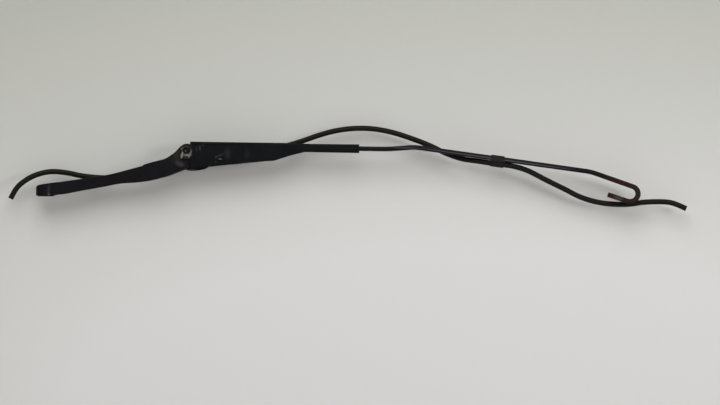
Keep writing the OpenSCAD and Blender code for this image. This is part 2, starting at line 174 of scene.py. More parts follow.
def add_node(tree: NodeTree, kind: str, inputs: Optional[dict[Any, Any]] = None, **settings: Any) -> Node:
    """Adds one node with its settings and its inputs.

    Args:
        tree: The node tree that gets it.
        kind: The node's type name.
        inputs: Socket name or number to a value, or to the output socket that feeds it.
        **settings: The node's own properties.

    Returns:
        The new node.
    """
    node = tree.nodes.new(kind)
    for name, value in settings.items():
        setattr(node, name, value)
    for socket, value in (inputs or {}).items():
        if isinstance(value, NodeSocket):
            tree.links.new(value, node.inputs[socket])
        else:
            node.inputs[socket].default_value = value
    return node


def empty_tree(owner: ID) -> NodeTree:
    """Turns on the nodes of a material or a world and clears them.

    Args:
        owner: The material or the world.

    Returns:
        Its empty node tree.
    """
    owner.use_nodes = True
    owner.node_tree.nodes.clear()
    return owner.node_tree


def noise(tree: NodeTree, coords: NodeSocket, size_mm: float, detail: float, roughness: float) -> NodeSocket:
    """Adds a noise pattern.

    Args:
        tree: The node tree that gets it.
        coords: The coordinates that it follows.
        size_mm: The size of its spots, in millimetres.
        detail: How many finer layers it has.
        roughness: How strong the finer layers are.

    Returns:
        The noise, around 0.5.
    """
    return add_node(
        tree,
        "ShaderNodeTexNoise",
        {"Vector": coords, "Scale": 1 / (size_mm * MM), "Detail": detail, "Roughness": roughness},
    ).outputs["Fac"]


def remapped(
    tree: NodeTree,
    value: Any,
    span: tuple[float, float],
    to: tuple[float, float] = (0.0, 1.0),
    **settings: Any,
) -> NodeSocket:
    """Adds a map from one span of numbers to another.

    Args:
        tree: The node tree that gets it.
        value: The number that is mapped.
        span: The two ends of its span.
        to: What these two ends become.
        **settings: The node's own properties.

    Returns:
        The mapped number.
    """
    inputs = {"Value": value, "From Min": span[0], "From Max": span[1], "To Min": to[0], "To Max": to[1]}
    return add_node(tree, "ShaderNodeMapRange", inputs, **settings).outputs["Result"]


def mixed(tree: NodeTree, kind: Mix, share: Any, below: Any, above: Any) -> NodeSocket:
    """Adds a mix of two colours or two numbers.

    Args:
        tree: The node tree that gets it.
        kind: What is mixed.
        share: The share of the second value, from 0 to 1.
        below: The first value.
        above: The second value.

    Returns:
        The mix's output socket.
    """
    data_type, first, second, result = kind.value
    inputs = {0: share, first: below, second: above}
    return add_node(tree, "ShaderNodeMix", inputs, data_type=data_type).outputs[result]


@dataclass(frozen=True)
class Patch:
    """A worn, dirty, rusty or scratched place on a surface, or a painted highlight.

    Attributes:
        centre: The middle of the place, along X and Z in the row frame, in millimetres.
        reach: Its half sizes along X and Z before it is turned, in millimetres.
        colour: Its sRGB colour.
        roughness: Its roughness.
        metallic: How bare the metal is there, from 0 to 1.
        turn: How far it is turned about the Y axis, in degrees.
        edge: How soft its edge is, as a share of its reach.
        ragged: How far noise pushes its edge, as a share of its reach.
        ragged_mm: The size of that noise's spots, in millimetres.
        strength: How much of it covers what is below.
        depth: Its half size along Y, in millimetres. The whole arm lies within the common one.
    """

    centre: tuple[float, float]
    reach: tuple[float, float]
    colour: str
    roughness: float = 0.5
    metallic: float = 0.0
    turn: float = 0.0
    edge: float = 0.3
    ragged: float = 0.8
    ragged_mm: float = 1.5
    strength: float = 1.0
    depth: float = 30.0

    def mask(self, tree: NodeTree, coords: NodeSocket) -> NodeSocket:
        """Makes the nodes that are 1 inside the place and 0 outside it.

        Args:
            tree: The material's node tree.
            coords: The Object coordinates.

        Returns:
            The mask's output socket.
        """
        local = add_node(
            tree,
            "ShaderNodeMapping",
            {
                "Vector": coords,
                "Location": place(self.centre[0], 0.0, self.centre[1]),
                "Rotation": (0.0, math.radians(self.turn), 0.0),
                "Scale": place(self.reach[0], self.depth, self.reach[1]),
            },
            vector_type="TEXTURE",
        )
        away = add_node(tree, "ShaderNodeVectorMath", {0: local.outputs[0]}, operation="LENGTH")
        spots = noise(tree, coords, self.ragged_mm, detail=3.0, roughness=0.6)
        push = add_node(
            tree, "ShaderNodeMath", {0: spots, 1: self.ragged, 2: -self.ragged / 2}, operation="MULTIPLY_ADD"
        )
        reach = add_node(
            tree, "ShaderNodeMath", {0: away.outputs["Value"], 1: push.outputs[0]}, operation="ADD"
        )
        span = (1 + self.edge, 1 - self.edge)
        return remapped(tree, reach.outputs[0], span, (0.0, self.strength), interpolation_type="SMOOTHSTEP")


@dataclass(frozen=True)
class Finish:
    """What a surface is made of and how it was made.

    Attributes:
        name: The material's name.
        colour: Its main sRGB colour.
        shade: The sRGB colour that it drifts towards.
        roughness: Its mean roughness.
        roughness_drift: How far its roughness drifts to either side.
        metallic: 1 for a bare metal and 0 for anything else.
        ior: Its index of refraction.
        specular: Its specular level, less than 0.5 where the surface is chalky.
        drift_mm: The size of the drifts in colour and roughness, in millimetres.
        grain_mm: The size of its grain, in millimetres.
        grain_depth_mm: The depth of its grain, in millimetres.
        sheen: The strength of its dusty sheen.
        patches: Its worn, dirty or rusty places and its painted highlights, the lowest first.
        attribute: The piece's own attribute that its pattern follows, or nothing for Object coordinates.
    """

    name: str
    colour: str
    shade: str
    roughness: float
    roughness_drift: float = 0.06
    metallic: float = 0.0
    ior: float = 1.5
    specular: float = 0.5
    drift_mm: float = 9.0
    grain_mm: float = 0.6
    grain_depth_mm: float = 0.02
    sheen: float = 0.0
    patches: tuple[Patch, ...] = ()
    attribute: str = ""

    def material(self) -> Material:
        """Returns the finish's material, made on its first use."""
        return bpy.data.materials.get(self.name) or self._made()

    def _made(self) -> Material:
        """Makes the material's nodes.

        Returns:
            The new material.
        """
        material = bpy.data.materials.new(self.name)
        tree = empty_tree(material)
        if self.attribute:
            coords = add_node(tree, "ShaderNodeAttribute", attribute_name=self.attribute).outputs["Vector"]
        else:
            coords = add_node(tree, "ShaderNodeTexCoord").outputs["Object"]
        drift = noise(tree, coords, self.drift_mm, detail=5.0, roughness=0.65)
        grain = noise(tree, coords, self.grain_mm, detail=3.0, roughness=0.55)
        spread = remapped(tree, drift, COLOUR_SPAN)
        colour = mixed(tree, Mix.COLOURS, spread, linear(self.colour), linear(self.shade))
        drifted = (self.roughness - self.roughness_drift, self.roughness + self.roughness_drift)
        roughness = remapped(tree, drift, ROUGHNESS_SPAN, drifted)
        metallic: Any = self.metallic
        for patch in self.patches:
            mask = patch.mask(tree, coords)
            colour = mixed(tree, Mix.COLOURS, mask, colour, linear(patch.colour))
            roughness = mixed(tree, Mix.NUMBERS, mask, roughness, patch.roughness)
            if patch.metallic != self.metallic:
                metallic = mixed(tree, Mix.NUMBERS, mask, metallic, patch.metallic)
        bump = add_node(
            tree, "ShaderNodeBump", {"Height": grain, "Strength": 1.0, "Distance": self.grain_depth_mm * MM}
        )
        shader = add_node(
            tree,
            "ShaderNodeBsdfPrincipled",
            {
                "Base Color": colour,
                "Roughness": roughness,
                "Metallic": metallic,
                "IOR": self.ior,
                "Specular IOR Level": self.specular,
                "Sheen Weight": self.sheen,
                "Normal": bump.outputs["Normal"],
            },
        )
        add_node(tree, "ShaderNodeOutputMaterial", {"Surface": shader.outputs[0]})
        return material


def add_object(name: str, shape: BMesh, material: Material) -> Object:
    """Makes an object of a shape, at the origin.

    Args:
        name: The name of the object and of its mesh.
        shape: Its shape, in metres. It is freed.
        material: Its material.

    Returns:
        The new object.
    """
    mesh = bpy.data.meshes.new(name)
    shape.to_mesh(mesh)
    shape.free()
    mesh.materials.append(material)
    made = bpy.data.objects.new(name, mesh)
    bpy.context.scene.collection.objects.link(made)
    return made


def add_piece(name: str, shape: BMesh, finish: Finish, crease: float = 38.0) -> Object:
    """Makes a smooth-shaded piece of the arm with its finish's material.

    Args:
        name: The piece's name.
        shape: Its shape in the row frame, in metres. It is freed.
        finish: What it is made of.
        crease: The angle between faces above which an edge stays sharp, in degrees.

    Returns:
        The new object.
    """
    piece = add_object(name, shape, finish.material())
    piece.data.shade_smooth()
    piece.data.set_sharp_from_angle(angle=math.radians(crease))
    LOG.info("%s: %d faces", name, len(piece.data.polygons))
    return piece


def level_faces(piece: Object) -> None:
    """Gives a piece's flat faces flat shading up to their rounded edges.

    Args:
        piece: The piece.
    """
    weighted = piece.modifiers.new("level_faces", "WEIGHTED_NORMAL")
    weighted.keep_sharp = True
    weighted.weight = WEIGHT_OF_LARGE_FACES


def cad_copy(node: str, weld: float = 0.002) -> BMesh:
    """Copies a CAD node's solid and joins its loose triangles into whole faces.

    Args:
        node: The node's name.
        weld: The distance within which corners become one, in millimetres.

    Returns:
        A new shape.
    """
    shape = bmesh.new()
    shape.from_mesh(frame["nodes"][node].data)
    bmesh.ops.remove_doubles(shape, verts=shape.verts, dist=weld * MM)
    bmesh.ops.dissolve_limit(shape, angle_limit=math.radians(1), verts=shape.verts, edges=shape.edges)
    return shape


def round_edges(
    shape: BMesh,
    radius: float,
    segments: int,
    wanted: Callable[[Vector], bool] = lambda middle: True,
    sharper_than: float = 42.0,
) -> None:
    """Rounds a shape's sharp edges.

    Args:
        shape: The shape that is rounded.
        radius: How far from the edge the rounding starts, in millimetres.
        segments: How many faces the rounding has.
        wanted: Whether an edge is rounded, by its middle in millimetres.
        sharper_than: The least angle between the faces of a sharp edge, in degrees.
    """
    least = math.radians(sharper_than)
    edges = [
        edge
        for edge in shape.edges
        if edge.is_manifold
        and edge.calc_face_angle(0.0) > least
        and wanted((edge.verts[0].co + edge.verts[1].co) / (2 * MM))
    ]
    bmesh.ops.bevel(
        shape,
        geom=edges,
        offset=radius * MM,
        offset_type="OFFSET",
        segments=segments,
        profile=0.5,
        affect="EDGES",
        clamp_overlap=False,
        material=-1,
    )


def keep_inside(shape: BMesh, node: str) -> None:
    """Presses the corners that a wide rounding pushed out back into a CAD node's box.

    Args:
        shape: The rounded shape.
        node: The node's name.
    """
    low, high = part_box(node)
    for vert in shape.verts:
        vert.co = Vector(min(max(here, least), most) for here, least, most in zip(vert.co, low, high))


def dress_solid(
    node: str, name: str, radius: float, finish: Finish, body: Body, level: bool = False
) -> None:
    """Puts a copy with finely rounded edges in the place of a CAD node.

    Args:
        node: The node's name.
        name: The new piece's name.
        radius: The rounding of its edges, in millimetres.
        finish: What it is made of.
        body: The body that it rides on.
        level: Whether its flat faces get flat shading.
    """
    shape = cad_copy(node)
    round_edges(shape, radius, FINE_ROUNDING_FACES)
    piece = add_piece(name, shape, finish)
    if level:
        level_faces(piece)
    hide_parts(node)
    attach(piece, body.value)


def extrude_loop(shape: BMesh, edges: list[BMEdge]) -> tuple[list[BMVert], list[BMEdge]]:
    """Extrudes a closed loop of edges, which stays where it is.

    Args:
        shape: The shape with the loop.
        edges: The loop's edges.

    Returns:
        The corners and the edges of the new loop.
    """
    grown = bmesh.ops.extrude_edge_only(shape, edges=edges)["geom"]
    corners = [part for part in grown if isinstance(part, BMVert)]
    members = set(corners)
    grown_edges = (part for part in grown if isinstance(part, BMEdge))
    return corners, [edge for edge in grown_edges if members.issuperset(edge.verts)]


def sweep(shape: BMesh, path: Sequence[Vector], radius: float, sides: int) -> list[list[BMVert]]:
    """Extrudes a ring along a path to make an open tube.

    Args:
        shape: The shape that gets the tube.
        path: The tube's middle line, in metres.
        radius: Its radius, in metres.
        sides: How many sides the ring has.

    Returns:
        The tube's rings, from first to last.
    """
    ring = bmesh.ops.create_circle(shape, cap_ends=False, radius=radius, segments=sides)["verts"]
    heading = (path[1] - path[0]).normalized()
    aim = heading.to_track_quat("Z", "Y").to_matrix()
    bmesh.ops.rotate(shape, verts=ring, cent=Vector(), matrix=aim)
    bmesh.ops.translate(shape, verts=ring, vec=path[0])
    edges = list({edge for vert in ring for edge in vert.link_edges})
    rings = [ring]
    for i in range(1, len(path)):
        ring, edges = extrude_loop(shape, edges)
        after = (path[min(i + 1, len(path) - 1)] - path[i - 1]).normalized()
        turn = heading.rotation_difference(after).to_matrix()
        bmesh.ops.translate(shape, verts=ring, vec=path[i] - path[i - 1])
        bmesh.ops.rotate(shape, verts=ring, cent=path[i], matrix=turn)
        heading = after
        rings.append(ring)
    return rings


def smooth_line(points: Sequence[Vector], steps: int) -> list[Vector]:
    """Draws a smooth curve through points.

    Args:
        points: The points that it passes, in metres.
        steps: How many stretches lie between two points.

    Returns:
        The points of the curve.
    """
    line = []
    for i in range(len(points) - 1):
        a, b, c = points[max(i - 1, 0)], points[i], points[i + 1]
        d = points[min(i + 2, len(points) - 1)]
        for k in range(steps):
            t = k / steps
            bend = (2 * a - 5 * b + 4 * c - d) * t * t + (3 * b - a - 3 * c + d) * t * t * t
            line.append((2 * b + (c - a) * t + bend) / 2)
    line.append(points[-1])
    return line


# Baked paint on a die-cast head: near black and dull, with a faint plum cast and a fine orange peel.
HEAD_PAINT = Finish(
    name="dull_black_paint_on_die_casting",
    colour="#0a090c",
    shade="#0f0d11",
    roughness=0.42,
    roughness_drift=0.07,
    specular=0.08,
    drift_mm=11.0,
    grain_mm=0.5,
    grain_depth_mm=0.012,
    patches=(
        Patch(from_hinge(-7.4, -3.8), (3.3, 8.6), "#1e1b15", 0.75, turn=38.0, ragged=1.0, strength=0.9),
        Patch(
            from_hinge(-7.6, -4.0), (5.0, 10.0), "#322f25", 0.8,
            turn=38.0, edge=0.45, ragged=2.6, ragged_mm=1.2, depth=6.6,
        ),
        # Painted highlight: a light band on the head's lower shoulder below the hinge, where its step face
        # would catch the light from above.
        Patch(from_hinge(-5.8, -11.6), (3.9, 2.3), "#36343b", 0.6, turn=24.0, edge=0.6, strength=0.8),
        # Painted highlights: a vertical light streak on the round boss and a brighter glint near its foot.
        Patch((3.2, 5.6), (0.9, 3.6), "#3a383d", 0.45, turn=4.0, edge=0.9, ragged=0.5, strength=0.55),
        Patch((3.4, 1.6), (0.9, 0.9), "#5a585c", 0.45, edge=0.8, ragged=0.5, strength=0.7),
        Patch((38.0, 10.5), (6.0, 0.5), "#2a282c", 0.55, turn=32.0, edge=0.9, strength=0.16),
        Patch((41.5, 9.8), (5.0, 0.5), "#2a282c", 0.55, turn=-30.0, edge=0.9, strength=0.16),
    ),
)

# Powder coat on pressed steel: blue-black and dull, with its ears rubbed to the bare steel below the pin.
CHANNEL_PAINT = Finish(
    name="dull_black_powder_coat_on_pressed_steel",
    colour="#090a0c",
    shade="#0d0f12",
    roughness=0.44,
    roughness_drift=0.08,
    specular=0.06,
    drift_mm=14.0,
    grain_mm=0.8,
    patches=(
        Patch(from_hinge(0.2, 0.2), (4.9, 5.2), "#28231e", 0.6, strength=0.8),
        Patch(from_hinge(0.8, -4.3), (3.4, 0.9), "#6f6b68", metallic=1.0, edge=0.5, ragged=0.5),
        Patch(
            from_hinge(-3.9, -4.3), (0.95, 3.3), "#74726a",
            metallic=1.0, turn=12.0, edge=0.4, ragged=0.5,
        ),
        Patch(from_hinge(3.0, -3.4), (0.8, 3.4), "#716b6e", metallic=1.0, turn=20.0, edge=0.5, ragged=0.5),
        Patch(
            from_hinge(-4.0, 1.2), (0.8, 1.5), "#5c564f", 0.55,
            metallic=1.0, turn=30.0, edge=0.6, strength=0.8,
        ),
        # Painted highlight: a thin bare-steel strip along the channel's left edge stands in for that edge's
        # light line.
        Patch(from_hinge(3.4, -0.4), (0.5, 2.4), "#464243", metallic=1.0, edge=0.6, strength=0.7),
        Patch(from_hinge(-1.0, -7.2), (1.8, 2.0), "#2a2420", 0.75, edge=0.4, ragged=0.5),
        Patch((130.0, 40.6), (0.5, 1.8), "#3a3c41", turn=-4.0, edge=0.7, strength=0.5),
        Patch((132.9, 41.2), (0.8, 2.2), "#3c3e44", turn=-6.0, edge=0.7, strength=0.6),
        Patch((135.4, 44.2), (0.7, 1.0), "#3c3e44", edge=0.7, strength=0.5),
        Patch((150.2, 35.2), (3.6, 0.8), "#2b2c30", turn=-27.0, edge=0.7, strength=0.8),
        Patch((146.6, 33.7), (0.6, 1.3), "#3a3c41", turn=10.0, edge=0.7, strength=0.6),
        Patch((146.6, 29.6), (0.6, 0.5), "#3f3d46", edge=0.7, strength=0.6),
        Patch((150.3, 32.0), (1.4, 0.45), "#6c6e70", 0.45, turn=-4.0, edge=0.6, strength=0.7),
        # Painted reflections: two soft bluish light blobs on the channel's side.
        Patch((156.7, 36.6), (2.2, 4.4), "#212428", 0.4, edge=0.8, ragged=0.3, strength=0.8),
        Patch((173.0, 36.6), (2.0, 4.0), "#1a1d21", 0.4, edge=0.8, ragged=0.3, strength=0.8),
    ),
)

# Paint on a rolled flat bar: black, with painted highlight lines along its crown, and rusted through on the
# hook, where the blade's adapter rubs.
BAR_PAINT = Finish(
    name="black_paint_on_rolled_bar_rusted_at_the_hook",
    colour="#09090b",
    shade="#0e0e11",
    roughness=0.34,
    roughness_drift=0.05,
    specular=0.1,
    drift_mm=8.0,
    grain_mm=0.5,
    patches=(
        # Painted highlights: light lines along the bar's rounded crown, on its long run and on its joggle.
        Patch((388.0, 32.0), (68.0, 0.5), "#46464a", 0.4, turn=8.0, edge=0.12, ragged=0.4, ragged_mm=4.0),
        Patch((310.0, 41.5), (11.0, 0.5), "#3c3c40", 0.4, turn=1.0, ragged=0.4, ragged_mm=4.0),
        Patch((497.0, 6.5), (17.0, 13.0), "#241612", 0.75, edge=0.4, ragged=1.3, ragged_mm=2.4),
        Patch((490.5, 13.6), (8.0, 4.0), "#2d1614", 0.8, turn=18.0, edge=0.8, ragged=1.4, ragged_mm=1.6),
        Patch((506.0, 2.5), (5.5, 7.0), "#2b2219", 0.7, edge=0.6, ragged_mm=2.0, strength=0.8),
        Patch((486.0, 1.0), (4.5, 3.2), "#2f1814", 0.8, edge=0.5, ragged_mm=1.2),
        Patch((483.0, 2.6), (1.3, 3.0), "#191513", 0.7, edge=0.5, ragged=0.5),
        Patch((492.0, -1.6), (4.0, 1.8), "#4a403a", 0.6, turn=20.0, edge=0.5, strength=0.6),
    ),
)

# Zinc-plated rivet steel that has gone dark with dirt and grease.
PIN_STEEL = Finish(
    name="dirty_zinc_plated_rivet_steel",
    colour="#1f1d1c",
    shade="#141312",
    roughness=0.42,
    roughness_drift=0.1,
    metallic=1.0,
    drift_mm=2.5,
    grain_mm=0.4,
    patches=(
        # Painted highlights: two light streaks on the domed rivet head.
        Patch(from_hinge(-1.0, -0.7), (0.35, 1.1), "#474344", 0.45, metallic=1.0, edge=0.6, strength=0.8),
        Patch(from_hinge(1.2, 0.5), (0.3, 1.2), "#403c3c", 0.45, metallic=1.0, edge=0.6, strength=0.8),
    ),
)

# Natural nylon that has soaked up dark grease and road dirt.
BUSH_NYLON = Finish(
    name="natural_nylon_greasy",
    colour="#2a2621",
    shade="#171411",
    roughness=0.55,
    ior=1.53,
    drift_mm=2.0,
    grain_mm=0.4,
    grain_depth_mm=0.008,
)

# Oil-hardened spring wire: dark and smooth, with brown oil in places.
SPRING_WIRE = Finish(
    name="oil_hardened_spring_wire",
    colour="#6a6660",
    shade="#463e36",
    roughness=0.38,
    metallic=1.0,
    drift_mm=6.0,
    grain_mm=0.3,
    grain_depth_mm=0.005,
)

# Pressed steel that was blackened and greasy, with a painted highlight line along its belly.
LINK_STEEL = Finish(
    name="blackened_pressed_steel",
    colour="#1c1a19",
    shade="#121110",
    roughness=0.4,
    roughness_drift=0.1,
    metallic=1.0,
    drift_mm=4.0,
    grain_mm=0.5,
    grain_depth_mm=0.015,
    # Painted highlight: a light line along the link's belly.
    patches=(Patch(from_hinge(3.4, -16.5), (5.0, 0.4), "#45423f", 0.45, metallic=1.0, edge=0.6),),
)

# Injection-moulded black nylon, slightly shiny.
CLIP_NYLON = Finish(
    name="moulded_black_nylon",
    colour="#0b0b0d",
    shade="#111113",
    roughness=0.45,
    ior=1.53,
    specular=0.16,
    drift_mm=5.0,
    grain_mm=0.25,
    grain_depth_mm=0.006,
)

# Extruded rubber hose: matt, brownish black, with a dusty bloom.
HOSE_RUBBER = Finish(
    name="extruded_rubber_hose",
    colour="#0d0d0a",
    shade="#12120e",
    roughness=0.5,
    ior=1.52,
    specular=0.1,
    drift_mm=16.0,
    grain_mm=0.35,
    grain_depth_mm=0.01,
    sheen=0.03,
    attribute=ALONG_HOSE,
)


@dataclass
class ArmHead:
    """The cast head with its boss, neck and tongue.

    Attributes:
        edge_radius: The rounding of the casting's edges, in millimetres.
        edge_faces: How many faces that rounding has.
    """

    edge_radius: float = 0.6
    edge_faces: int = 3

    def build(self) -> None:
        """Rounds the casting's edges and dresses it."""
        shape = cad_copy("arm_head")
        round_edges(shape, self.edge_radius, self.edge_faces)
        keep_inside(shape, "arm_head")
        head = add_piece("cast_head", shape, HEAD_PAINT)
        level_faces(head)
        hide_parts("arm_head")
        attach(head, Body.HEAD.value)


@dataclass
class Hinge:
    """The riveted pin and its two bushes. Its lengths are in millimetres.

    Attributes:
        dome: How far the rivet's heads bulge.
        dimple: The radius of the dimple that the riveting tool left.
        dimple_depth: How deep that dimple is.
        dimple_rim: How wide its rounded rim is.
        head_t: How thick the rivet's heads are.
        shank_r: The radius of its shank.
        turns: How many faces go round it.
        bush_edge: The rounding of the bushes' edges.
    """

    dome: float = 0.35
    dimple: float = 1.5
    dimple_depth: float = 0.55
    dimple_rim: float = 0.35
    head_t: float = 1.0
    shank_r: float = 2.5
    turns: int = 48
    bush_edge: float = 0.12

    def build(self) -> None:
        """Builds the pin and dresses the bushes."""
        self._pin()
        for node in ("hinge_bush_left", "hinge_bush_right"):
            dress_solid(node, node + "_moulded", self.bush_edge, BUSH_NYLON, Body.ARM)

    def _pin(self) -> None:
        """Spins the pin's outline, which runs from each dimple's floor over the domed head to the shank."""
        low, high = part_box("hinge_pin")
        end = high.y / MM
        head_r = (high.z - low.z) / 2 / MM
        outline = [
            (0.0, end - self.dimple_depth),
            (self.dimple * 0.7, end - 0.5),
            (self.dimple, end - 0.12),
            (self.dimple + self.dimple_rim, end),
            (head_r - 0.7, end - 0.05),
            (head_r - 0.2, end - self.dome),
            (head_r, end - self.dome - 0.25),
            (head_r, end - self.head_t),
            (self.shank_r, end - self.head_t),
        ]
        outline += [(radius, -along) for radius, along in reversed(outline)]
        shape = bmesh.new()
        verts = [shape.verts.new(HINGE + place(0.0, along, radius)) for radius, along in outline]
        edges = [shape.edges.new(pair) for pair in zip(verts, verts[1:])]
        bmesh.ops.spin(
            shape,
            geom=verts + edges,
            cent=HINGE,
            axis=(0.0, 1.0, 0.0),
            angle=math.tau,
            steps=self.turns,
            use_merge=True,
        )
        bmesh.ops.remove_doubles(shape, verts=shape.verts, dist=0.001 * MM)
        bmesh.ops.recalc_face_normals(shape, faces=shape.faces)
        pin = add_piece("riveted_hinge_pin", shape, PIN_STEEL, crease=50.0)
        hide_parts("hinge_pin")
        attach(pin, Body.HEAD.value)


@dataclass
class SpringGear:
    """The tension spring, the link that it pulls and their pins. Its lengths are in millimetres.

    Attributes:
        wire_d: The diameter of the spring's wire.
        coil_r: The mean radius of its coils.
        loop_r: The mean radius of its loop round the anchor pin.
        loop_arc: Where that loop starts and ends, in degrees.
        coils: How many coils it has.
        pitch: The distance from coil to coil.
        coil_start: How far its coils start from the anchor pin.
        hook_arc: Where its hook in the link starts and ends, in degrees.
        hook_tail: The straight end of that hook.
        link_len: The length of the link between its two eyes.
        coil_points: How many points each coil has.
        bend_step: The angle between the points of the loop and of the hook, in degrees.
        wire_sides: How many sides the wire has.
        link_edge: The rounding of the link's edges.
        pin_edge: The rounding of the two pins' edges.
    """

    wire_d: float = 1.6
    coil_r: float = 3.5
    loop_r: float = 2.9
    loop_arc: tuple[int, int] = (-110, 130)
    coils: int = 16
    pitch: float = 2.0
    coil_start: float = 8.0
    hook_arc: tuple[int, int] = (90, 270)
    hook_tail: float = 2.5
    link_len: float = 35.2
    coil_points: int = 14
    bend_step: int = 20
    wire_sides: int = 10
    link_edge: float = 0.3
    pin_edge: float = 0.2

    def build(self) -> None:
        """Builds the spring and dresses the link and the pins."""
        self._spring()
        dress_solid(
            "spring_link", "stamped_link", self.link_edge, LINK_STEEL, Body.LINK, level=True
        )
        for node, body in (("link_pin", Body.HEAD), ("spring_anchor_pin", Body.ARM)):
            dress_solid(node, node + "_turned", self.pin_edge, PIN_STEEL, body)

    def _bend(self, arc: tuple[int, int]) -> list[float]:
        """Divides an arc of the wire.

        Args:
            arc: Where it starts and ends, in degrees.

        Returns:
            The angles of its points, in radians.
        """
        return [math.radians(step) for step in range(arc[0], arc[1] + 1, self.bend_step)]

    def _wire_line(self) -> list[Vector]:
        """Draws the wire's middle line.

        Returns:
            Its points in metres, from the loop on the anchor pin to the hook in the link.
        """
        reach = (SPRING_ANCHOR - LINK_PIVOT).length / MM - self.link_len
        line = [
            place(self.loop_r * math.cos(a), 0.0, self.loop_r * math.sin(a))
            for a in self._bend(self.loop_arc)
        ]
        for k in range(self.coils * self.coil_points + 1):
            a = k * math.tau / self.coil_points
            along = -self.coil_start - k * self.pitch / self.coil_points
            line.append(place(along, self.coil_r * math.sin(a), self.coil_r * math.cos(a)))
        coil_end = -self.coil_start - self.coils * self.pitch
        line.append(place(coil_end - 1.2, self.coil_r * 0.8, self.coil_r * 0.5))
        hook_middle = -reach + self.coil_r
        for a in self._bend(self.hook_arc):
            line.append(place(hook_middle + self.coil_r * math.cos(a), self.coil_r * math.sin(a), 0.0))
        line.append(place(hook_middle + self.hook_tail, -self.coil_r, 0.0))
        return line

    def _spring(self) -> None:
        """Sweeps the spring's wire along its line."""
        lean = (SPRING_ANCHOR - LINK_PIVOT).normalized()
        turn = Matrix.Rotation(-math.atan2(lean.z, lean.x), 4, "Y")
        line = [SPRING_ANCHOR + turn @ point for point in self._wire_line()]
        shape = bmesh.new()
        rings = sweep(shape, line, self.wire_d / 2 * MM, self.wire_sides)
        for ring in (rings[0], rings[-1]):
            bmesh.ops.contextual_create(shape, geom=ring)
        bmesh.ops.recalc_face_normals(shape, faces=shape.faces)
        spring = add_piece("wound_spring", shape, SPRING_WIRE, crease=60.0)
        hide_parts("tension_spring")
        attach(spring, Body.SPRING.value)


@dataclass
class Channel:
    """The pressed channel with its ears and its neck round the bar. Its lengths are in millimetres.

    Attributes:
        fold_radius: The outer radius of its folds.
        fold_faces: How many faces the folds' rounding has.
        cut_radius: The rounding of its cut edges.
        roof_gap: The distance from the hinge pin to its roof.
        taper_len: The length from there to its neck.
        half_w: Half its outer width at the hinge.
        neck_half_w: Half the outer width of its neck.
        fold_rise: How far above the hinge pin its upper folds lie at least.
        end_margin: How far from its ends the rounded folds stop.
        side_margin: How far inside its width a fold may lie.
        neck_margin: How far behind the start of its neck the neck's folds start.
    """

    fold_radius: float = 1.5
    fold_faces: int = 4
    cut_radius: float = 0.18
    roof_gap: float = 3.3
    taper_len: float = 97.5
    half_w: float = 10.0
    neck_half_w: float = 6.1
    fold_rise: float = 4.0
    end_margin: float = 0.1
    side_margin: float = 0.3
    neck_margin: float = 0.2

    def build(self) -> None:
        """Rounds the folds and the cut edges and dresses the channel."""
        shape = cad_copy("channel")
        round_edges(shape, self.fold_radius, self.fold_faces, self._on_fold)
        keep_inside(shape, "channel")
        round_edges(shape, self.cut_radius, FINE_ROUNDING_FACES)
        keep_inside(shape, "channel")
        channel = add_piece("pressed_channel", shape, CHANNEL_PAINT)
        level_faces(channel)
        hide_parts("channel")
        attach(channel, Body.ARM.value)

    def _on_fold(self, middle: Vector) -> bool:
        """Tells whether an edge is one of the channel's outer folds.

        Args:
            middle: The edge's middle, in millimetres.

        Returns:
            True for the two long upper edges and the neck's two lower edges.
        """
        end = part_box("channel")[1].x / MM
        start = HINGE.x / MM + self.roof_gap
        if not start + self.end_margin < middle.x < end - self.end_margin:
            return False
        along = min(1.0, (middle.x - start) / self.taper_len)
        half = self.half_w + (self.neck_half_w - self.half_w) * along
        outer = abs(middle.y) > half - self.side_margin
        upper = middle.z > HINGE.z / MM + self.fold_rise
        on_neck = middle.x > start + self.taper_len + self.neck_margin
        return outer and (upper or on_neck)


@dataclass
class HookBar:
    """The flat bar with its hook. Its lengths are in millimetres.

    Attributes:
        rolled_radius: The rounding of its long edges.
        rolled_faces: How many faces that rounding has.
        cut_radius: The rounding of its cut ends.
        half_w: Half its width.
        edge_margin: How far inside its width a long edge may lie.
        weld: The steps in its outline that are taken out.
    """

    rolled_radius: float = 1.5
    rolled_faces: int = 4
    cut_radius: float = 0.3
    half_w: float = 4.5
    edge_margin: float = 0.1
    weld: float = 0.3

    def build(self) -> None:
        """Rounds the bar's long edges and its cut ends, and dresses it."""
        shape = cad_copy("hook_bar", weld=self.weld)
        round_edges(shape, self.rolled_radius, self.rolled_faces, self._on_long_edge)
        round_edges(shape, self.cut_radius, FINE_ROUNDING_FACES, sharper_than=60.0)
        keep_inside(shape, "hook_bar")
        bar = add_piece("rolled_bar", shape, BAR_PAINT, crease=50.0)
        level_faces(bar)
        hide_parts("hook_bar")
        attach(bar, Body.ARM.value)

    def _on_long_edge(self, middle: Vector) -> bool:
        """Tells whether an edge runs along the bar.

        Args:
            middle: The edge's middle, in millimetres.

        Returns:
            True for the edges at the bar's two sides.
        """
        return abs(middle.y) > self.half_w - self.edge_margin


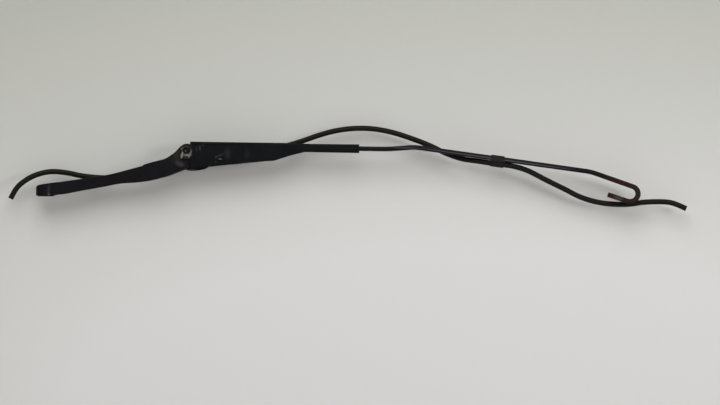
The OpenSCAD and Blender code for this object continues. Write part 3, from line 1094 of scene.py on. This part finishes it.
@dataclass
class WasherHose:
    """The washer hose and the three clips that hold it.

    Attributes:
        outer_d: The hose's outer diameter, in millimetres.
        bore_d: Its inner diameter, in millimetres.
        bore_depth: How deep its open ends are modelled, in millimetres.
        length: Its real length, in metres. It is not used.
        sides: How many sides it has.
        steps: How many stretches of the tube lie between two points of its route.
        clip_edge: The rounding of the clips' edges, in millimetres.
        route: The points that its middle line passes, from the feed end to the jet end, in metres.
    """

    outer_d: float = 4.65
    bore_d: float = 2.6
    bore_depth: float = 9.0
    length: float = 0.614
    sides: int = 24
    steps: int = 5
    clip_edge: float = 0.22
    route: tuple[tuple[float, float, float], ...] = (
        (-0.0308, 0.003, -0.002), (-0.0242, 0.0034, 0.0088), (-0.012, 0.0042, 0.0172),
        (0.002, 0.0058, 0.0212), (0.016, 0.008, 0.0205), (0.03, 0.0104, 0.0177), (0.046, 0.0104, 0.0161),
        (0.062, 0.0104, 0.0161), (0.078, 0.0104, 0.0182), (0.092, 0.0118, 0.0224),
        (0.106, 0.0126, 0.0284), (0.1206, 0.0128, 0.034), (0.135, 0.0127, 0.0378), (0.15, 0.012, 0.0394),
        (0.165, 0.0111, 0.0398), (0.181, 0.0106, 0.0398), (0.195, 0.01, 0.041), (0.208, 0.0095, 0.044),
        (0.222, 0.0095, 0.0484), (0.236, 0.0095, 0.0532), (0.25, 0.0095, 0.0568), (0.266, 0.0094, 0.0587),
        (0.282, 0.0092, 0.0582), (0.298, 0.0088, 0.0552), (0.314, 0.0083, 0.0501), (0.33, 0.008, 0.0439),
        (0.345, 0.008, 0.0368), (0.358, 0.006, 0.0324), (0.372, 0.0022, 0.0302), (0.3877, 0.0, 0.0279),
        (0.401, 0.0, 0.02605), (0.414, 0.0005, 0.0222), (0.43, 0.0026, 0.0142), (0.446, 0.0048, 0.0064),
        (0.462, 0.007, -0.0013), (0.48, 0.008, -0.0059), (0.5, 0.008, -0.0069), (0.517, 0.0078, -0.0049),
        (0.537, 0.0068, -0.0052), (0.5513, 0.0059, -0.0106),
    )

    def build(self) -> None:
        """Builds the hose and dresses its clips."""
        self._hose()
        for node, body in (
            ("bar_hose_clip", Body.ARM),
            ("head_hose_clip", Body.HEAD),
            ("channel_hose_clip", Body.ARM),
        ):
            dress_solid(
                node, node + "_moulded", self.clip_edge, CLIP_NYLON, body, level=True
            )

    def _hose(self) -> None:
        """Sweeps the hose along its route and opens its ends."""
        line = smooth_line([Vector(point) for point in self.route], self.steps)
        shape = bmesh.new()
        rings = sweep(shape, line, self.outer_d / 2 * MM, self.sides)
        self._open_end(shape, rings[0], line[0], line[1] - line[0])
        self._open_end(shape, rings[-1], line[-1], line[-2] - line[-1])
        bmesh.ops.recalc_face_normals(shape, faces=shape.faces)
        self._mark_length(shape, line)
        hose = add_piece("rubber_hose", shape, HOSE_RUBBER, crease=60.0)
        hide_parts("washer_hose_feed", "washer_hose_run")
        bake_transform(hose)

    def _open_end(self, shape: BMesh, ring: list[BMVert], middle: Vector, inwards: Vector) -> None:
        """Gives one end of the hose its cut face and its bore.

        Args:
            shape: The hose's shape.
            ring: The end's ring.
            middle: The ring's middle.
            inwards: A direction into the hose.
        """
        members = set(ring)
        edges = list({edge for vert in ring for edge in vert.link_edges if members.issuperset(edge.verts)})
        narrow = self.bore_d / self.outer_d
        for scale, depth in ((narrow, 0.0), (1.0, self.bore_depth)):
            inner, edges = extrude_loop(shape, edges)
            centred = Matrix.Translation(-middle)
            bmesh.ops.scale(shape, verts=inner, vec=(scale,) * 3, space=centred)
            bmesh.ops.translate(shape, verts=inner, vec=inwards.normalized() * depth * MM)
        bmesh.ops.contextual_create(shape, geom=edges)

    def _mark_length(self, shape: BMesh, line: Sequence[Vector]) -> None:
        """Stores where each point lies on the straightened hose, so that its pattern bends with it.

        Args:
            shape: The hose's shape.
            line: Its middle line.
        """
        layer = shape.verts.layers.float_vector.new(ALONG_HOSE)
        lengths = [0.0]
        for before, here in zip(line, line[1:]):
            lengths.append(lengths[-1] + (here - before).length)
        for vert in shape.verts:
            nearest = min(range(len(line)), key=lambda i: (line[i] - vert.co).length_squared)
            away = vert.co - line[nearest]
            vert[layer] = Vector((lengths[nearest], away.y, away.z))


@dataclass(frozen=True)
class Lamp:
    """A round soft lamp that is turned to the arm.

    Attributes:
        name: Its name.
        away: Where it hangs, from the middle of the arm, in metres.
        size: Its diameter, in metres.
        power: Its power, in watts.
    """

    name: str
    away: tuple[float, float, float]
    size: float
    power: float


@dataclass
class Studio:
    """The camera, the pale sheet behind the arm, the floor and the lamps.

    Attributes:
        middle: The middle of the photo's frame on the arm's plane, in metres.
        frame_width: The width of that frame there, in metres.
        distance: How far the camera is from the arm's plane, in metres.
        sheet_gap: The gap between the arm and the pale sheet behind it, in millimetres.
        sheet_colour: The sRGB colour of the sheet and the floor.
        sheet_painted_shade: The sRGB colour of the painted shade that the sheet darkens to, away from its
            lower middle.
        sheet_half: Half the sheet's side, in metres.
        painted_light_middle: The middle of the sheet's palest place, a painted pool of light, in metres.
        painted_falloff_reach: The half sizes of the oval that the painted shade follows, in metres.
        painted_falloff_span: Where the painted shade starts and ends, as shares of that oval.
        floor_z: The height of the floor, in metres.
        floor_half: Half the floor's side, in metres.
        room_colour: The sRGB colour of the light that comes from all sides.
        room_light: The strength of that light.
        seen_light: The strength of the room that the camera and the gloss see.
        lamp_aim_z: The height that the lamps point at, in metres.
        lamps: The soft key lamp above and in front, a weak one at the right and a low one in front.
    """

    middle: tuple[float, float] = (0.27004, -0.00529)
    frame_width: float = 0.6192
    distance: float = 2.4
    sheet_gap: float = 8.0
    sheet_colour: str = "#d9d8d7"
    sheet_painted_shade: str = "#b5b6ae"
    sheet_half: float = 1.4
    painted_light_middle: tuple[float, float, float] = (0.36, 0.0, -0.2)
    painted_falloff_reach: tuple[float, float, float] = (1.4, 9.0, 0.62)
    painted_falloff_span: tuple[float, float] = (0.25, 0.65)
    floor_z: float = -0.25
    floor_half: float = 2.0
    room_colour: str = "#dcdcda"
    room_light: float = 0.46
    seen_light: float = 0.9
    lamp_aim_z: float = 0.02
    lamps: tuple[Lamp, ...] = (
        Lamp("key_lamp", (-0.1, -1.55, 1.15), 1.5, 22.0),
        Lamp("side_lamp", (1.3, -1.5, 0.2), 0.5, 7.0),
        Lamp("low_lamp", (0.0, -1.7, -0.55), 0.6, 6.0),
    )

    def build(self) -> None:
        """Places the camera, the lamps and the backdrop."""
        self._camera()
        self._backdrop()
        self._floor()
        self._lamps()
        self._world()

    def _camera(self) -> None:
        """Makes the camera: a long lens, square to the arm's side."""
        data = bpy.data.cameras.new("long_lens")
        data.sensor_width = 36.0
        data.lens = data.sensor_width * self.distance / self.frame_width
        data.clip_start, data.clip_end = 0.05, 20.0
        camera = bpy.data.objects.new("camera", data)
        camera.location = (self.middle[0], -self.distance, self.middle[1])
        camera.rotation_euler = (math.radians(90), 0.0, 0.0)
        bpy.context.scene.collection.objects.link(camera)
        bpy.context.scene.camera = camera

    def _sheet(self, name: str, half: float, turn: Matrix, at: Vector, material: Material) -> None:
        """Makes one flat pale sheet that isn't part of the arm.

        Args:
            name: Its name.
            half: Half its side, in metres.
            turn: How it is turned from lying face up.
            at: Its middle.
            material: Its material.
        """
        shape = bmesh.new()
        bmesh.ops.create_grid(shape, x_segments=1, y_segments=1, size=half)
        bmesh.ops.rotate(shape, verts=shape.verts, cent=Vector(), matrix=turn)
        bmesh.ops.translate(shape, verts=shape.verts, vec=at)
        sheet = add_object(name, shape, material)

    def _backdrop(self) -> None:
        """Stands a pale sheet close behind the arm, with painted shade that darkens it away from its lower
        middle. It can't be seen from behind.
        """
        material = bpy.data.materials.new("pale_sheet_painted_shade_one_sided")
        tree = empty_tree(material)
        side = add_node(tree, "ShaderNodeNewGeometry").outputs["Backfacing"]
        coords = add_node(tree, "ShaderNodeTexCoord").outputs["Object"]
        local = add_node(
            tree,
            "ShaderNodeMapping",
            {"Vector": coords, "Location": self.painted_light_middle, "Scale": self.painted_falloff_reach},
            vector_type="TEXTURE",
        )
        away = add_node(tree, "ShaderNodeVectorMath", {0: local.outputs[0]}, operation="LENGTH")
        # Painted shade: the sheet's colour darkens away from its lower middle, as if less light fell there.
        painted_falloff = remapped(tree, away.outputs["Value"], self.painted_falloff_span)
        colour = mixed(tree, Mix.COLOURS, painted_falloff, linear(self.sheet_colour), linear(self.sheet_painted_shade))
        pale = add_node(tree, "ShaderNodeBsdfDiffuse", {"Color": colour})
        clear = add_node(tree, "ShaderNodeBsdfTransparent")
        both = add_node(tree, "ShaderNodeMixShader", {0: side, 1: pale.outputs[0], 2: clear.outputs[0]})
        add_node(tree, "ShaderNodeOutputMaterial", {"Surface": both.outputs[0]})
        behind = CAD_BOX[1].y + self.sheet_gap * MM
        upright = Matrix.Rotation(math.radians(90), 3, "X")
        self._sheet("backdrop", self.sheet_half, upright, Vector((self.middle[0], behind, 0.0)), material)

    def _floor(self) -> None:
        """Lays a pale floor below the camera's frame."""
        material = bpy.data.materials.new("pale_floor")
        material.use_nodes = True
        shader = material.node_tree.nodes["Principled BSDF"]
        shader.inputs["Base Color"].default_value = linear(self.sheet_colour)
        shader.inputs["Roughness"].default_value = 0.9
        at = Vector((self.middle[0], 0.0, self.floor_z))
        self._sheet("floor", self.floor_half, Matrix.Identity(3), at, material)

    def _lamps(self) -> None:
        """Hangs the lamps and turns them to the arm."""
        aim = Vector((self.middle[0], 0.0, self.lamp_aim_z))
        for lamp in self.lamps:
            data = bpy.data.lights.new(lamp.name, "AREA")
            data.shape = "DISK"
            data.size = lamp.size
            data.energy = lamp.power
            away = Vector(lamp.away)
            hung = bpy.data.objects.new(lamp.name, data)
            hung.location = aim + away
            hung.rotation_mode = "QUATERNION"
            hung.rotation_quaternion = (-away).to_track_quat("-Z", "Y")
            bpy.context.scene.collection.objects.link(hung)

    def _world(self) -> None:
        """Makes a dim room that the camera and the gloss see as pale as the sheet."""
        world = bpy.data.worlds.new("pale_room")
        bpy.context.scene.world = world
        tree = empty_tree(world)
        rays = add_node(tree, "ShaderNodeLightPath")
        gloss = add_node(
            tree,
            "ShaderNodeMath",
            {0: rays.outputs["Is Glossy Ray"], 1: rays.outputs["Is Transmission Ray"]},
            operation="ADD",
        )
        pale = add_node(
            tree, "ShaderNodeMath", {0: rays.outputs["Is Camera Ray"], 1: gloss.outputs[0]}, operation="ADD"
        )
        room = add_node(
            tree, "ShaderNodeBackground", {"Color": linear(self.room_colour), "Strength": self.room_light}
        )
        seen = add_node(
            tree, "ShaderNodeBackground", {"Color": linear(self.sheet_colour), "Strength": self.seen_light}
        )
        either = add_node(
            tree, "ShaderNodeMixShader", {0: pale.outputs[0], 1: room.outputs[0], 2: seen.outputs[0]}
        )
        add_node(tree, "ShaderNodeOutputWorld", {"Surface": either.outputs[0]})


def main() -> None:
    """Builds the studio and the arm's sub-assemblies in order."""
    logging.basicConfig(level=logging.INFO, format="%(name)s: %(message)s")
    bpy.context.scene.view_settings.view_transform = "Standard"
    for assembly in (Studio(), WasherHose(), ArmHead(), Hinge(), SpringGear(), Channel(), HookBar()):
        assembly.build()


if __name__ == "__main__":
    main()
